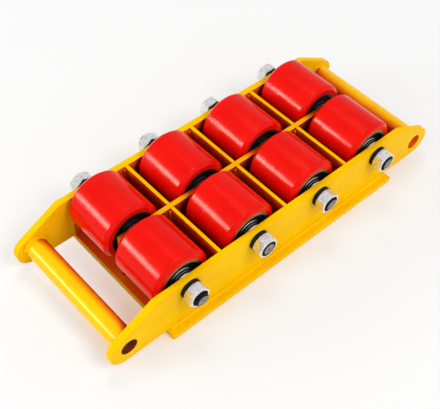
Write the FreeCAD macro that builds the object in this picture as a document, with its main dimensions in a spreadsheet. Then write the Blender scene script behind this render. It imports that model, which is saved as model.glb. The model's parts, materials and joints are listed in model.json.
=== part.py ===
"""Machine skate, lying on its load plate with the rollers up, as it is stored and serviced.

Millimetres. X runs along the skate, Y along the axles, Z up from the load face.
The welded frame is a load plate, two eared side plates, a middle plate, six short cross
plates and two tubes to lift it by. Four axles carry two rollers each on sealed bearings.
"""
import FreeCAD
import Part
import Sketcher
import os
import re

doc = FreeCAD.newDocument("MachineSkate")
dims = doc.addObject("Spreadsheet::Sheet", "Dims")

SIZES = {
    # rollers and the bearings inside them
    "tread_thickness": 9,
    "tread_chamfer": 4,
    "core_wall": 4,
    "roller_length": 68,
    "bearing_wall": 10.5,
    "bearing_recess": 2.5,
    "spacer_wall": 3,
    "running_gap": 0.05,
    # axles and what clamps them
    "axle_diameter": 20,
    "axle_fit_gap": 0.02,
    "axle_hole_gap": 0.1,
    "axle_shoulder": 2,
    "shoulder_inset": 0.5,
    "thread_gap": 0.1,
    "thread_stand": 2.5,
    "nut_height": 12.5,
    "washer_width": 4.2,
    "washer_gap": 0.2,
    "washer_thickness": 4.5,
    "washer_slit": 2.5,
    # spaces between the rollers and the frame
    "roller_spacing": 23,
    "roller_end_gap": 3.75,
    "roller_floor_gap": 14.5,
    # welded frame, with its reach along X measured from the end axles
    "load_thickness": 8,
    "load_reach": 29.5,
    "load_flange": 10,
    "load_corner_radius": 2,
    "side_thickness": 8,
    "side_rise": 12.25,
    "top_edge_reach": 43,
    "ear_reach": 83,
    "ear_radius": 19.5,
    "middle_thickness": 6,
    "middle_offset": 2,
    "middle_reach": 22,
    "cross_thickness": 4.5,
    "handle_reach": 79,
    "handle_rise": 21.5,
    "handle_diameter": 26,
    "handle_wall": 3,
    "foot_weld_leg": 4,
    "corner_weld_leg": 3.5,
}

for row, (name, value) in enumerate(SIZES.items(), start=1):
    dims.set(f"A{row}", str(value))
    dims.setAlias(f"A{row}", name)
doc.recompute()

# Sizes that follow from the ones above, so that the whole skate moves with each of them.
THREAD = "(axle_diameter - 2 * axle_shoulder)"
SPACER = "(axle_diameter + 2 * spacer_wall)"
BEARING = f"({SPACER} + 2 * bearing_wall)"
CORE = f"({BEARING} + 2 * core_wall)"
ROLLER = f"({CORE} + 2 * tread_thickness)"
PITCH = f"({ROLLER} + roller_spacing)"
AXLE_SPAN = f"(3 * {PITCH})"
AXLE_HEIGHT = f"(load_thickness + roller_floor_gap + {ROLLER} / 2)"
BAY = "(roller_length + 2 * roller_end_gap)"
ROW_OFFSET = f"(({BAY} + middle_thickness) / 2)"
INNER_WIDTH = f"(2 * {BAY} + middle_thickness)"
OUTER_HALF = f"({INNER_WIDTH} / 2 + side_thickness)"
SIDE_HEIGHT = f"({AXLE_HEIGHT} + side_rise - load_thickness)"
LOAD_LENGTH = f"({AXLE_SPAN} + 2 * load_reach)"
EAR_X = f"({AXLE_SPAN} / 2 + ear_reach)"
HANDLE_X = f"({AXLE_SPAN} / 2 + handle_reach)"
HANDLE_HEIGHT = "(load_thickness + handle_rise)"
HANDLE_BORE = "(handle_diameter - 2 * handle_wall)"

ROWS = {"right": -1, "left": 1}
ENDS = {"rear": -1, "front": 1}

# The middle plate stands a little to the left, so that the bays of the two rows differ.
MIDDLE_FACES = {
    "right": "(middle_offset - middle_thickness / 2)",
    "left": "(middle_offset + middle_thickness / 2)",
}
BAYS = {"right": f"({BAY} + middle_offset)", "left": f"({BAY} - middle_offset)"}


def centred(*names):
    """Number names in steps of one, with zero in the middle of the row."""
    return {name: number - (len(names) - 1) / 2 for number, name in enumerate(names)}


BAY_LINES = centred("rear", "center", "front")
AXLES = centred("rear", "second", "third", "front")

# The turn of each nut's corners, in degrees from level, as the spanner left them.
NUT_TURNS = {"right": (27, 0, -8, 20), "left": (12, 41, 22, 5)}

nodes = []


def named(text):
    """Point every size in an expression at the sheet."""
    return re.sub(r"[a-z]+(?:_[a-z]+)+", r"Dims.\g<0>", text)


def size(text):
    """The present value of an expression, in millimetres."""
    return float(dims.evalExpression(text))


def bind(thing, prop, text):
    thing.setExpression(prop, named(text))


def place(thing, x="0", y="0", z="0", turn=0, axis=(0, 1, 0)):
    """Put a piece at a point given by sizes, turned about an axis of its own."""
    thing.Placement.Rotation = FreeCAD.Rotation(FreeCAD.Vector(*axis), turn)
    for letter, text in zip("xyz", (x, y, z)):
        bind(thing, f"Placement.Base.{letter}", text)


def keep(piece):
    """Count a finished piece as a node of the skate."""
    nodes.append(piece)
    return piece


def new_body(label):
    return doc.addObject("PartDesign::Body", label)


def new_sketch(body, plane, name):
    sketch = body.newObject("Sketcher::SketchObject", name)
    support = next(f for f in body.Origin.OriginFeatures if f.Role == plane)
    sketch.AttachmentSupport = [(support, "")]
    sketch.MapMode = "FlatFace"
    return sketch


def fix_point(sketch, geometry, end, x, y):
    """Hold a point of the sketch at two expressions, measured from the sketch's origin."""
    for kind, text, axis in (("DistanceX", x, -2), ("DistanceY", y, -1)):
        value = size(text)
        if abs(value) < 1e-9:
            sketch.addConstraint(Sketcher.Constraint("PointOnObject", geometry, end, axis))
        elif value > 0:
            index = sketch.addConstraint(Sketcher.Constraint(kind, -1, 1, geometry, end, value))
            bind(sketch, f"Constraints[{index}]", text)
        else:
            index = sketch.addConstraint(Sketcher.Constraint(kind, geometry, end, -1, 1, -value))
            bind(sketch, f"Constraints[{index}]", f"-({text})")


def draw_polygon(sketch, corners):
    """A closed outline of straight lines, with each corner held by two expressions."""
    points = [FreeCAD.Vector(size(x), size(y), 0) for x, y in corners]
    lines = []
    for start, finish in zip(points, points[1:] + points[:1]):
        lines.append(sketch.addGeometry(Part.LineSegment(start, finish)))
    for line, after in zip(lines, lines[1:] + lines[:1]):
        sketch.addConstraint(Sketcher.Constraint("Coincident", line, 2, after, 1))
    for line, (x, y) in zip(lines, corners):
        fix_point(sketch, line, 1, x, y)


def draw_box(sketch, width, height, foot="0"):
    """A rectangle centred on the sketch's upright axis, standing at a given height."""
    left, right, top = f"-({width}) / 2", f"({width}) / 2", f"{foot} + {height}"
    draw_polygon(sketch, [(left, foot), (right, foot), (right, top), (left, top)])


def draw_circle(sketch, x, y, diameter):
    centre = FreeCAD.Vector(size(x), size(y), 0)
    circle = Part.Circle(centre, FreeCAD.Vector(0, 0, 1), size(diameter) / 2)
    geometry = sketch.addGeometry(circle)
    if centre.Length < 1e-9:
        sketch.addConstraint(Sketcher.Constraint("Coincident", geometry, 3, -1, 1))
    else:
        fix_point(sketch, geometry, 3, x, y)
    index = sketch.addConstraint(Sketcher.Constraint("Diameter", geometry, size(diameter)))
    bind(sketch, f"Constraints[{index}]", diameter)


def pad(body, sketch, length):
    feature = body.newObject("PartDesign::Pad", f"{body.Name}_pad")
    feature.Profile = sketch
    bind(feature, "Length", length)
    return feature


def cut_through(body, sketch, tag):
    """Cut a sketch's outlines right through the body, and make sure that it took material."""
    doc.recompute()
    before = body.Shape.Volume
    feature = body.newObject("PartDesign::Pocket", f"{body.Name}_{tag}")
    feature.Profile = sketch
    feature.Type = "ThroughAll"
    feature.Midplane = True
    doc.recompute()
    if not body.Shape.Volume < before - 1:
        raise RuntimeError(f"{body.Label}: {tag} cut nothing")
    return feature


def turned(label, outline):
    """A body turned about the Y axis from (radius, distance along the axis) corners."""
    body = new_body(label)
    sketch = new_sketch(body, "XY_Plane", f"{label}_profile")
    draw_polygon(sketch, outline)
    feature = body.newObject("PartDesign::Revolution", f"{label}_turning")
    feature.Profile = sketch
    feature.ReferenceAxis = (sketch, ["V_Axis"])
    feature.Angle = 360
    return body


def ring(label, outer, inner, length):
    """A plain turned ring from two diameters, reaching along +Y from its origin."""
    outer_radius, inner_radius = f"({outer}) / 2", f"({inner}) / 2"
    return turned(label, [
        (inner_radius, "0"),
        (outer_radius, "0"),
        (outer_radius, length),
        (inner_radius, length),
    ])


def copies(label, master, spots):
    """One node made of separate copies of a master piece."""
    links = []
    for number, spot in enumerate(spots, start=1):
        link = doc.addObject("App::Link", f"{label}_{number}")
        link.LinkedObject = master
        link.LinkTransform = False
        place(link, **spot)
        links.append(link)
    group = doc.addObject("Part::Compound", label)
    group.Links = links
    return keep(group)


def drill_axle_row(body):
    """Drill the rear axle hole in a plate on edge and repeat it along the skate."""
    sketch = new_sketch(body, "XZ_Plane", f"{body.Name}_axle_hole_outline")
    hole = "axle_diameter + 2 * axle_hole_gap"
    draw_circle(sketch, f"-{AXLE_SPAN} / 2", f"{AXLE_HEIGHT} - load_thickness", hole)
    first = cut_through(body, sketch, "axle_hole")
    row = body.newObject("PartDesign::LinearPattern", f"{body.Name}_axle_row")
    row.Originals = [first]
    row.Direction = (sketch, ["H_Axis"])
    bind(row, "Length", AXLE_SPAN)
    row.Occurrences = len(AXLES)
    body.Tip = row


def draw_side_outline(sketch):
    """A straight top edge, a slope at each end, and an ear tangent to the slope and the foot."""
    radius = size("ear_radius")
    corner = FreeCAD.Vector(size(f"{AXLE_SPAN} / 2 + top_edge_reach"), size(SIDE_HEIGHT), 0)
    centre = FreeCAD.Vector(size(EAR_X), radius, 0)
    # The touching point of the slope: a tangent from the corner to the ear's circle.
    toward = corner - centre
    share = radius / toward.Length
    toward.normalize()
    sideways = FreeCAD.Vector(toward.y, -toward.x, 0)
    touch = centre + (toward * share + sideways * (1 - share ** 2) ** 0.5) * radius
    nose = centre + FreeCAD.Vector(radius, 0, 0)
    foot = FreeCAD.Vector(centre.x, 0, 0)

    def mirrored(point):
        return FreeCAD.Vector(-point.x, point.y, 0)

    top_line = sketch.addGeometry(Part.LineSegment(mirrored(corner), corner))
    front_slope = sketch.addGeometry(Part.LineSegment(corner, touch))
    front_ear = sketch.addGeometry(Part.Arc(foot, nose, touch))
    foot_line = sketch.addGeometry(Part.LineSegment(foot, mirrored(foot)))
    rear_ear = sketch.addGeometry(Part.Arc(mirrored(touch), mirrored(nose), mirrored(foot)))
    rear_slope = sketch.addGeometry(Part.LineSegment(mirrored(touch), mirrored(corner)))
    for constraint in (
        ("Coincident", top_line, 2, front_slope, 1),
        ("Tangent", front_slope, 2, front_ear, 2),
        ("Tangent", front_ear, 1, foot_line, 1),
        ("Tangent", foot_line, 2, rear_ear, 2),
        ("Tangent", rear_ear, 1, rear_slope, 1),
        ("Coincident", rear_slope, 2, top_line, 1),
        ("PointOnObject", foot_line, 1, -1),
        ("Horizontal", foot_line),
        ("Equal", front_ear, rear_ear),
    ):
        sketch.addConstraint(Sketcher.Constraint(*constraint))
    fix_point(sketch, top_line, 1, f"-({AXLE_SPAN} / 2 + top_edge_reach)", SIDE_HEIGHT)
    fix_point(sketch, top_line, 2, f"{AXLE_SPAN} / 2 + top_edge_reach", SIDE_HEIGHT)
    index = sketch.addConstraint(Sketcher.Constraint("Radius", front_ear, radius))
    bind(sketch, f"Constraints[{index}]", "ear_radius")
    for ends in ((-1, 1, front_ear, 3), (rear_ear, 3, -1, 1)):
        index = sketch.addConstraint(Sketcher.Constraint("DistanceX", *ends, centre.x))
        bind(sketch, f"Constraints[{index}]", EAR_X)


# Load plate: the flat face that carries the machine, with a flange outside each side plate.
load_plate = keep(new_body("load_plate"))
load_sketch = new_sketch(load_plate, "XY_Plane", "load_outline")
load_half = f"({OUTER_HALF} + load_flange)"
draw_box(load_sketch, LOAD_LENGTH, f"2 * {load_half}", foot=f"-{load_half}")
load_pad = pad(load_plate, load_sketch, "load_thickness")
doc.recompute()
upright_edges = [
    f"Edge{number}"
    for number, edge in enumerate(load_pad.Shape.Edges, start=1)
    if abs(edge.tangentAt(edge.FirstParameter).z) > 0.9
]
load_corners = load_plate.newObject("PartDesign::Fillet", "load_corners")
load_corners.Base = (load_pad, upright_edges)
bind(load_corners, "Radius", "load_corner_radius")

# Side plates: eared at both ends, bored for the handles and drilled for the axles.
for side, sign in ROWS.items():
    plate = keep(new_body(f"{side}_side_plate"))
    outline = new_sketch(plate, "XZ_Plane", f"{side}_side_outline")
    draw_side_outline(outline)
    pad(plate, outline, "side_thickness")
    bores = new_sketch(plate, "XZ_Plane", f"{side}_ear_bores")
    for end in ENDS.values():
        draw_circle(bores, f"{end} * {HANDLE_X}", "handle_rise", HANDLE_BORE)
    cut_through(plate, bores, "ear_bores")
    drill_axle_row(plate)
    # A plate's sketch lies on its +Y face.
    face = OUTER_HALF if sign > 0 else f"-{INNER_WIDTH} / 2"
    place(plate, y=face, z="load_thickness")

# Middle plate between the two rows of rollers, drilled on the same axle lines.
middle_plate = keep(new_body("middle_plate"))
middle_sketch = new_sketch(middle_plate, "XZ_Plane", "middle_outline")
draw_box(middle_sketch, f"({AXLE_SPAN} + 2 * middle_reach)", SIDE_HEIGHT)
pad(middle_plate, middle_sketch, "middle_thickness")
drill_axle_row(middle_plate)
place(middle_plate, y=MIDDLE_FACES["left"], z="load_thickness")

# Cross plates: a short plate on each side of the middle one, between neighbouring rollers.
for line, step in BAY_LINES.items():
    for side, sign in ROWS.items():
        plate = keep(doc.addObject("Part::Box", f"{line}_{side}_cross_plate"))
        bind(plate, "Length", "cross_thickness")
        bind(plate, "Width", BAYS[side])
        bind(plate, "Height", SIDE_HEIGHT)
        near_face = f"{step} * {PITCH} - cross_thickness / 2"
        low_end = MIDDLE_FACES["left"] if sign > 0 else f"-{INNER_WIDTH} / 2"
        place(plate, x=near_face, y=low_end, z="load_thickness")

# Handle tubes: welded between the ears, in line with their bores.
for name, end in ENDS.items():
    tube = keep(ring(f"{name}_handle_tube", "handle_diameter", HANDLE_BORE, INNER_WIDTH))
    place(tube, x=f"{end} * {HANDLE_X}", y=f"-{INNER_WIDTH} / 2", z=HANDLE_HEIGHT)

# Foot welds: a long fillet on the flange along the outside of each side plate.
foot_master = new_body("foot_fillet")
foot_sketch = new_sketch(foot_master, "YZ_Plane", "foot_section")
draw_polygon(foot_sketch, [("0", "0"), ("foot_weld_leg", "0"), ("0", "foot_weld_leg")])
foot_end = f"({LOAD_LENGTH} / 2 - load_corner_radius)"
pad(foot_master, foot_sketch, f"2 * {foot_end}")
about_z = {"z": "load_thickness", "axis": (0, 0, 1)}
copies("foot_welds", foot_master, [
    {**about_z, "x": f"-{foot_end}", "y": OUTER_HALF},
    {**about_z, "x": foot_end, "y": f"-{OUTER_HALF}", "turn": 180},
])

# Corner welds: an upright fillet in both corners at each end of every cross plate.
corner_master = new_body("corner_fillet")
corner_sketch = new_sketch(corner_master, "XY_Plane", "corner_section")
draw_polygon(corner_sketch, [("0", "0"), ("corner_weld_leg", "0"), ("0", "corner_weld_leg")])
pad(corner_master, corner_sketch, f"{SIDE_HEIGHT} - corner_weld_leg")
# The fillet's legs run along +X and +Y; a quarter turn each brings them into the other corners.
QUARTERS = {(1, 1): 0, (-1, 1): 90, (-1, -1): 180, (1, -1): 270}
corner_spots = []
for step in BAY_LINES.values():
    for side, sign in ROWS.items():
        side_wall = f"{sign} * {INNER_WIDTH} / 2"
        for wall, inward in ((MIDDLE_FACES[side], sign), (side_wall, -sign)):
            for face in (-1, 1):
                corner_spots.append({
                    **about_z,
                    "x": f"{step} * {PITCH} + {face} * cross_thickness / 2",
                    "y": wall,
                    "turn": QUARTERS[face, inward],
                })
copies("corner_welds", corner_master, corner_spots)

# Axles: a ground shaft through the plates, turned down at both ends for the nuts.
shaft_end = f"({OUTER_HALF} - shoulder_inset)"
thread_end = f"({OUTER_HALF} + washer_thickness + nut_height + thread_stand)"
for name, step in AXLES.items():
    axle = keep(turned(f"{name}_axle", [
        ("0", f"-{thread_end}"),
        (f"{THREAD} / 2", f"-{thread_end}"),
        (f"{THREAD} / 2", f"-{shaft_end}"),
        ("axle_diameter / 2", f"-{shaft_end}"),
        ("axle_diameter / 2", shaft_end),
        (f"{THREAD} / 2", shaft_end),
        (f"{THREAD} / 2", thread_end),
        ("0", thread_end),
    ]))
    place(axle, x=f"{step} * {PITCH}", z=AXLE_HEIGHT)

# Split spring washers and hexagon nuts on both ends of every axle.
washer_bore = f"({THREAD} + 2 * washer_gap)"
washer_master = ring(
    "split_washer", f"{washer_bore} + 2 * washer_width", washer_bore, "washer_thickness")
slit_sketch = new_sketch(washer_master, "YZ_Plane", "slit_outline")
slit_half = "washer_slit / 2"
draw_polygon(slit_sketch, [
    ("0", f"-{slit_half}"),
    ("washer_thickness", f"-{slit_half}"),
    ("washer_thickness", slit_half),
    ("0", slit_half),
])
doc.recompute()
whole_washer = washer_master.Shape.Volume
slit_cut = washer_master.newObject("PartDesign::Pocket", "slit_cut")
slit_cut.Profile = slit_sketch
bind(slit_cut, "Length", f"{washer_bore} / 2 + 2 * washer_width")
doc.recompute()
if not washer_master.Shape.Volume < whole_washer - 1:
    raise RuntimeError("the washer's slit cut nothing")

nut_master = new_body("hexagon_nut")
nut_sketch = new_sketch(nut_master, "XZ_Plane", "nut_outline")
across_flats = f"(1.5 * {THREAD})"
nut_corner = f"({across_flats} / sqrt(3))"
draw_polygon(nut_sketch, [
    (nut_corner, "0"),
    (f"{nut_corner} / 2", f"{across_flats} / 2"),
    (f"-{nut_corner} / 2", f"{across_flats} / 2"),
    (f"-{nut_corner}", "0"),
    (f"-{nut_corner} / 2", f"-{across_flats} / 2"),
    (f"{nut_corner} / 2", f"-{across_flats} / 2"),
])
draw_circle(nut_sketch, "0", "0", f"{THREAD} + 2 * thread_gap")
pad(nut_master, nut_sketch, "nut_height")

washer_spots, nut_spots = [], []
for side, sign in ROWS.items():
    # A washer reaches along +Y from its origin and a nut along -Y.
    washer_start = OUTER_HALF if sign > 0 else f"-{OUTER_HALF} - washer_thickness"
    nut_start = f"-{OUTER_HALF} - washer_thickness"
    if sign > 0:
        nut_start = f"{OUTER_HALF} + washer_thickness + nut_height"
    for step, turn in zip(AXLES.values(), NUT_TURNS[side]):
        station = {"x": f"{step} * {PITCH}", "z": AXLE_HEIGHT}
        washer_spots.append({**station, "y": washer_start, "turn": 3 * turn})
        nut_spots.append({**station, "y": nut_start, "turn": -turn})
copies("lock_washers", washer_master, washer_spots)
copies("axle_nuts", nut_master, nut_spots)

# Bearing cartridges: two sealed bearings and their end spacers, closed and solid inside,
# clamped between the plates on each axle.
cartridge_bore = "(axle_diameter / 2 + axle_fit_gap)"
for side, sign in ROWS.items():
    # The outline runs along +Y, from the foot of one spacer to the end of the other.
    side_spacer = "(roller_end_gap + bearing_recess)"
    middle_spacer = f"({BAYS[side]} - {BAY} + {side_spacer})"
    if sign > 0:
        start, near_seal, end_spacer = MIDDLE_FACES[side], middle_spacer, side_spacer
    else:
        start, near_seal, end_spacer = f"-{INNER_WIDTH} / 2", side_spacer, middle_spacer
    far_seal = f"{BAYS[side]} - {end_spacer}"
    cartridge = turned(f"{side}_cartridge", [
        (cartridge_bore, "0"),
        (f"{SPACER} / 2", "0"),
        (f"{SPACER} / 2", near_seal),
        (f"{BEARING} / 2", near_seal),
        (f"{BEARING} / 2", far_seal),
        (f"{SPACER} / 2", far_seal),
        (f"{SPACER} / 2", BAYS[side]),
        (cartridge_bore, BAYS[side]),
    ])
    copies(f"{side}_bearing_cartridges", cartridge, [
        {"x": f"{step} * {PITCH}", "y": start, "z": AXLE_HEIGHT}
        for step in AXLES.values()
    ])

# Rollers: a cast tread with chamfered rims on a steel core, which turns on the bearings.
core_bore = f"{BEARING} + 2 * running_gap"
for side, sign in ROWS.items():
    for number, step in enumerate(AXLES.values(), start=1):
        roller = f"{side}_roller_{number}"
        spot = {
            "x": f"{step} * {PITCH}",
            "y": f"{sign} * {ROW_OFFSET} - roller_length / 2",
            "z": AXLE_HEIGHT,
        }
        core = keep(ring(f"{roller}_core", CORE, core_bore, "roller_length"))
        place(core, **spot)
        tread = keep(turned(f"{roller}_tread", [
            (f"{CORE} / 2", "0"),
            (f"{ROLLER} / 2 - tread_chamfer", "0"),
            (f"{ROLLER} / 2", "tread_chamfer"),
            (f"{ROLLER} / 2", "roller_length - tread_chamfer"),
            (f"{ROLLER} / 2 - tread_chamfer", "roller_length"),
            (f"{CORE} / 2", "roller_length"),
        ]))
        place(tread, **spot)

doc.recompute()
faults = []
for thing in doc.Objects:
    if {"Invalid", "Error"} & set(thing.State):
        faults.append(f"{thing.Label} is {thing.State}")
for piece in nodes:
    if piece.Shape.isNull() or not piece.Shape.isValid() or not piece.Shape.Solids:
        faults.append(f"{piece.Label} has no valid solid")
if faults:
    raise RuntimeError("; ".join(faults))

os.makedirs("parts", exist_ok=True)
for piece in nodes:
    piece.Shape.exportStep(f"parts/{piece.Label}.step")
print(f"{len(nodes)} nodes, {sum(len(piece.Shape.Solids) for piece in nodes)} solids")
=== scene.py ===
# %% [markdown]
# # Machine skate
# A machine skate is a low welded frame on hard rollers that carries a heavy machine across a floor.
# Here it lies upside down on its load plate, with its rollers up. The solids come from the packed
# CAD model. This script gives them rounded edges, weld beads, threads and finishes, and sets up a
# small photo studio. Every piece stays in the CAD model's own frame, in metres.

# %% Load the frame
import json
import math
import random
import bpy
from mathutils import Matrix, Vector


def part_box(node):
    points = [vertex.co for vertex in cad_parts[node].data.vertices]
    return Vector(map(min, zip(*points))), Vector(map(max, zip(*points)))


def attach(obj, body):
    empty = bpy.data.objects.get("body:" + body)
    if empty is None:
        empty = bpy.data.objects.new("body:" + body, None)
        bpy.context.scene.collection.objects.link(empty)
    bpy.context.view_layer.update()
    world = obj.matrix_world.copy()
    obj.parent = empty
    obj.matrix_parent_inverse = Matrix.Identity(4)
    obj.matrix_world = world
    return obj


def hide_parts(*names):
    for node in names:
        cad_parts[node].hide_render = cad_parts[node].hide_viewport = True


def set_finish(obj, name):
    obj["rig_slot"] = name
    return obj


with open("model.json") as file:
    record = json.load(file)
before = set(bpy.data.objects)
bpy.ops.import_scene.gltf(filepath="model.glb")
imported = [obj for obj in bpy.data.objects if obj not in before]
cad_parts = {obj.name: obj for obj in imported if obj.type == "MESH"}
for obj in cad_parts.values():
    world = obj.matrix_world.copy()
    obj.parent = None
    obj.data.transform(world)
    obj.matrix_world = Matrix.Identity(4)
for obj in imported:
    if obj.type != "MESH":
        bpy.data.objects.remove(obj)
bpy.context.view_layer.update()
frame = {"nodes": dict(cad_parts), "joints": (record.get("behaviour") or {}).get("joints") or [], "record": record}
MM = 0.001

# %% [markdown]
# ## Measures
# Sizes that the CAD model already holds are read from its nodes, so that the dressing follows it.
# Only the small things that the solids leave out, such as a bead's radius, are typed in below.

# %% Read the main sizes
record = frame["record"]
slot_of = {part["node"]: part["material_slot"] for part in record["subparts"]}
body_of = {node: body for body, nodes in record["behaviour"]["bodies"].items() for node in nodes}
roller_centres = {joint["child"]: Vector(joint["pos_m"]) for joint in frame["joints"]}


def span(node):
    """The size of a node's box along X, Y and Z."""
    low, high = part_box(node)
    return high - low


tread_radius = span("right_roller_1_tread").z / 2
roller_length = span("right_roller_1_tread").y
core_radius = span("right_roller_1_core").z / 2
plate_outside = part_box("left_side_plate")[1].y
axle_spots = [
    Vector((centre.x, 0, centre.z)) for name, centre in roller_centres.items() if "left" in name]
print("tread radius", round(tread_radius, 4), "roller length", round(roller_length, 4))

# %% [markdown]
# ## Working by hand in code
# Each operator acts on whatever is selected, so every step first drops the old selection. A piece
# that is finished sits at the origin with its place in its mesh, as the CAD nodes do.

# %% Helpers for selecting and editing
def let_go():
    """Leave edit mode and drop the selection."""
    if bpy.context.mode != "OBJECT":
        bpy.ops.object.mode_set(mode="OBJECT")
    bpy.ops.object.select_all(action="DESELECT")


def take(piece):
    """Make a piece the only selected one, and the active one."""
    let_go()
    piece.select_set(True)
    bpy.context.view_layer.objects.active = piece


def open_mesh(piece, action="SELECT"):
    """Take a piece into edit mode, with all of its mesh selected or none of it."""
    take(piece)
    bpy.ops.object.mode_set(mode="EDIT")
    bpy.ops.mesh.select_all(action=action)


def close_mesh():
    """Go back to object mode."""
    bpy.ops.object.mode_set(mode="OBJECT")


print("mode at the start:", bpy.context.mode)

# %% Helpers for naming, copying and finishing
dressed = {}


def call_it(piece, name):
    """Give a piece and its mesh one name."""
    piece.name = name
    piece.data.name = name


def apply_place(piece, name):
    """Name a new piece and put its place into its mesh."""
    take(piece)
    call_it(piece, name)
    bpy.ops.object.transform_apply(location=True, rotation=True, scale=True)


def smooth(piece, degrees=32):
    """Shade smooth, except over edges that are sharper than an angle."""
    take(piece)
    bpy.ops.object.shade_smooth_by_angle(angle=math.radians(degrees))


def copy_at(master, name, matrix):
    """A copy with a mesh of its own, moved in the mesh."""
    piece = bpy.data.objects.new(name, master.data.copy())
    piece.data.name = name
    piece.data.transform(matrix)
    bpy.context.scene.collection.objects.link(piece)
    return piece


def join(pieces, name):
    """Put several copies into one piece."""
    let_go()
    for piece in pieces:
        piece.select_set(True)
    bpy.context.view_layer.objects.active = pieces[0]
    bpy.ops.object.join()
    call_it(pieces[0], name)
    return pieces[0]


def drop(piece):
    """Remove a master that was only there to be copied."""
    bpy.data.objects.remove(piece)


def stands_for(piece, *nodes):
    """A piece that takes the place of CAD nodes moves with their body and takes their finish."""
    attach(piece, body_of[nodes[0]])
    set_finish(piece, slot_of[nodes[0]])
    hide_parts(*nodes)
    dressed[piece.name] = piece


print("pieces dressed so far:", len(dressed))

# %% [markdown]
# ## Plates, tubes and rings with softened edges
# Cut plate is never razor sharp: grinding and paint round its edges, and that thin round catches
# the light. A copy of the CAD solid is merged, its flat faces are joined, and a small bevel is
# applied. Bevelling a copy keeps every outline and hole where the CAD model has it.

# %% Soften the CAD solids' edges
def merge_flats(piece, merge_within, flat_degrees):
    """Merge a mesh's doubled corners, and join the faces that lie flat with each other."""
    open_mesh(piece)
    bpy.ops.mesh.remove_doubles(threshold=merge_within)
    bpy.ops.mesh.dissolve_limited(angle_limit=math.radians(flat_degrees))
    close_mesh()


def round_edges(piece, width, sharp_degrees, harden):
    """Bevel the edges that are sharper than an angle, and keep the flats' shading if asked."""
    take(piece)
    bevel = piece.modifiers.new("edge_round", "BEVEL")
    bevel.width = width
    bevel.segments = 2
    bevel.limit_method = "ANGLE"
    bevel.angle_limit = math.radians(sharp_degrees)
    bevel.harden_normals = harden
    bpy.ops.object.modifier_apply(modifier=bevel.name)


def softened(node, width):
    """Stand a copy with rounded edges in a CAD node's place."""
    piece = copy_at(frame["nodes"][node], f"{node}_softened", Matrix.Identity(4))
    merge_flats(piece, merge_within=0.002 * MM, flat_degrees=0.4)
    smooth(piece)
    round_edges(piece, width, sharp_degrees=40, harden=True)
    stands_for(piece, node)


EDGE_ROUNDS = {
    "load_plate": 0.9 * MM,
    "right_side_plate": 0.7 * MM,
    "left_side_plate": 0.7 * MM,
    "middle_plate": 0.7 * MM,
    "rear_handle_tube": 0.3 * MM,
    "front_handle_tube": 0.3 * MM,
    "lock_washers": 0.4 * MM,
}
ROUNDS_BY_ENDING = {"_cross_plate": 0.6 * MM, "_core": 0.5 * MM}
for node in slot_of:
    for ending, width in ROUNDS_BY_ENDING.items():
        if node.endswith(ending):
            EDGE_ROUNDS[node] = width
for node, width in EDGE_ROUNDS.items():
    softened(node, width)
print("softened:", len(EDGE_ROUNDS))

# %% [markdown]
# ### Spring washers
# A spring washer is cut through at one place, and where that cut ends up when the nut is tight is
# chance. On this skate the cuts face down, so each washer is turned about its own axle. Its corners
# are selected by their place, and transform.rotate is told the axle as its centre.

# %% Turn the spring washers
WASHER_TURNS = {-1: (165, 190, 200, 175), 1: (170, 195, 160, 185)}
WASHER_REACH = 20 * MM
washers = dressed["lock_washers_softened"]
bpy.context.tool_settings.mesh_select_mode = (True, False, False)
for side, turns in WASHER_TURNS.items():
    for spot, degrees in zip(axle_spots, turns):
        open_mesh(washers, "DESELECT")
        close_mesh()
        for corner in washers.data.vertices:
            corner.select = (
                side * corner.co.y > 0 and abs(corner.co.x - spot.x) < WASHER_REACH)
        bpy.ops.object.mode_set(mode="EDIT")
        bpy.ops.transform.rotate(
            value=math.radians(degrees), orient_axis="Y", center_override=spot)
let_go()
print("washers turned:", sum(len(turns) for turns in WASHER_TURNS.values()))

# %% [markdown]
# ## A lathe
# Rollers, seals, shafts and weld beads are all round about an axis. One circle is added and then
# extruded ring by ring, each ring scaled to its radius, as one would with E and S at the keyboard.

# %% Turn a shape about the Y axis
def turned(name, stations, segments, hollow):
    """Rings of (radius, place along Y). A hollow shape closes on itself, a solid one is capped."""
    let_go()
    radius, along = stations[0]
    bpy.ops.mesh.primitive_circle_add(
        vertices=segments, radius=radius, location=(0, along, 0), rotation=(math.pi / 2, 0, 0))
    piece = bpy.context.active_object
    apply_place(piece, name)
    open_mesh(piece)
    for next_radius, next_along in stations[1:]:
        step = (0, next_along - along, 0)
        bpy.ops.mesh.extrude_region_move(TRANSFORM_OT_translate={"value": step})
        growth = next_radius / radius
        bpy.ops.transform.resize(value=(growth, 1, growth), center_override=(0, next_along, 0))
        radius, along = next_radius, next_along
    bpy.ops.mesh.select_all(action="DESELECT")
    bpy.ops.mesh.select_non_manifold()
    if hollow:
        bpy.ops.mesh.bridge_edge_loops()
    else:
        bpy.ops.mesh.fill_holes(sides=0)
    bpy.ops.mesh.select_all(action="SELECT")
    bpy.ops.mesh.normals_make_consistent(inside=False)
    close_mesh()
    return piece


def mirrored(half):
    """A profile's half, drawn from its low end to the middle, with its other half added."""
    return half + [(radius, -along) for radius, along in reversed(half)]


print("axles to turn about:", len(axle_spots))

# %% [markdown]
# ## Treads
# The polyurethane is cast on the core in a mould. Its rim is a flat chamfer with a soft corner on
# each side, and the bore closes on the steel core.

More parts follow.
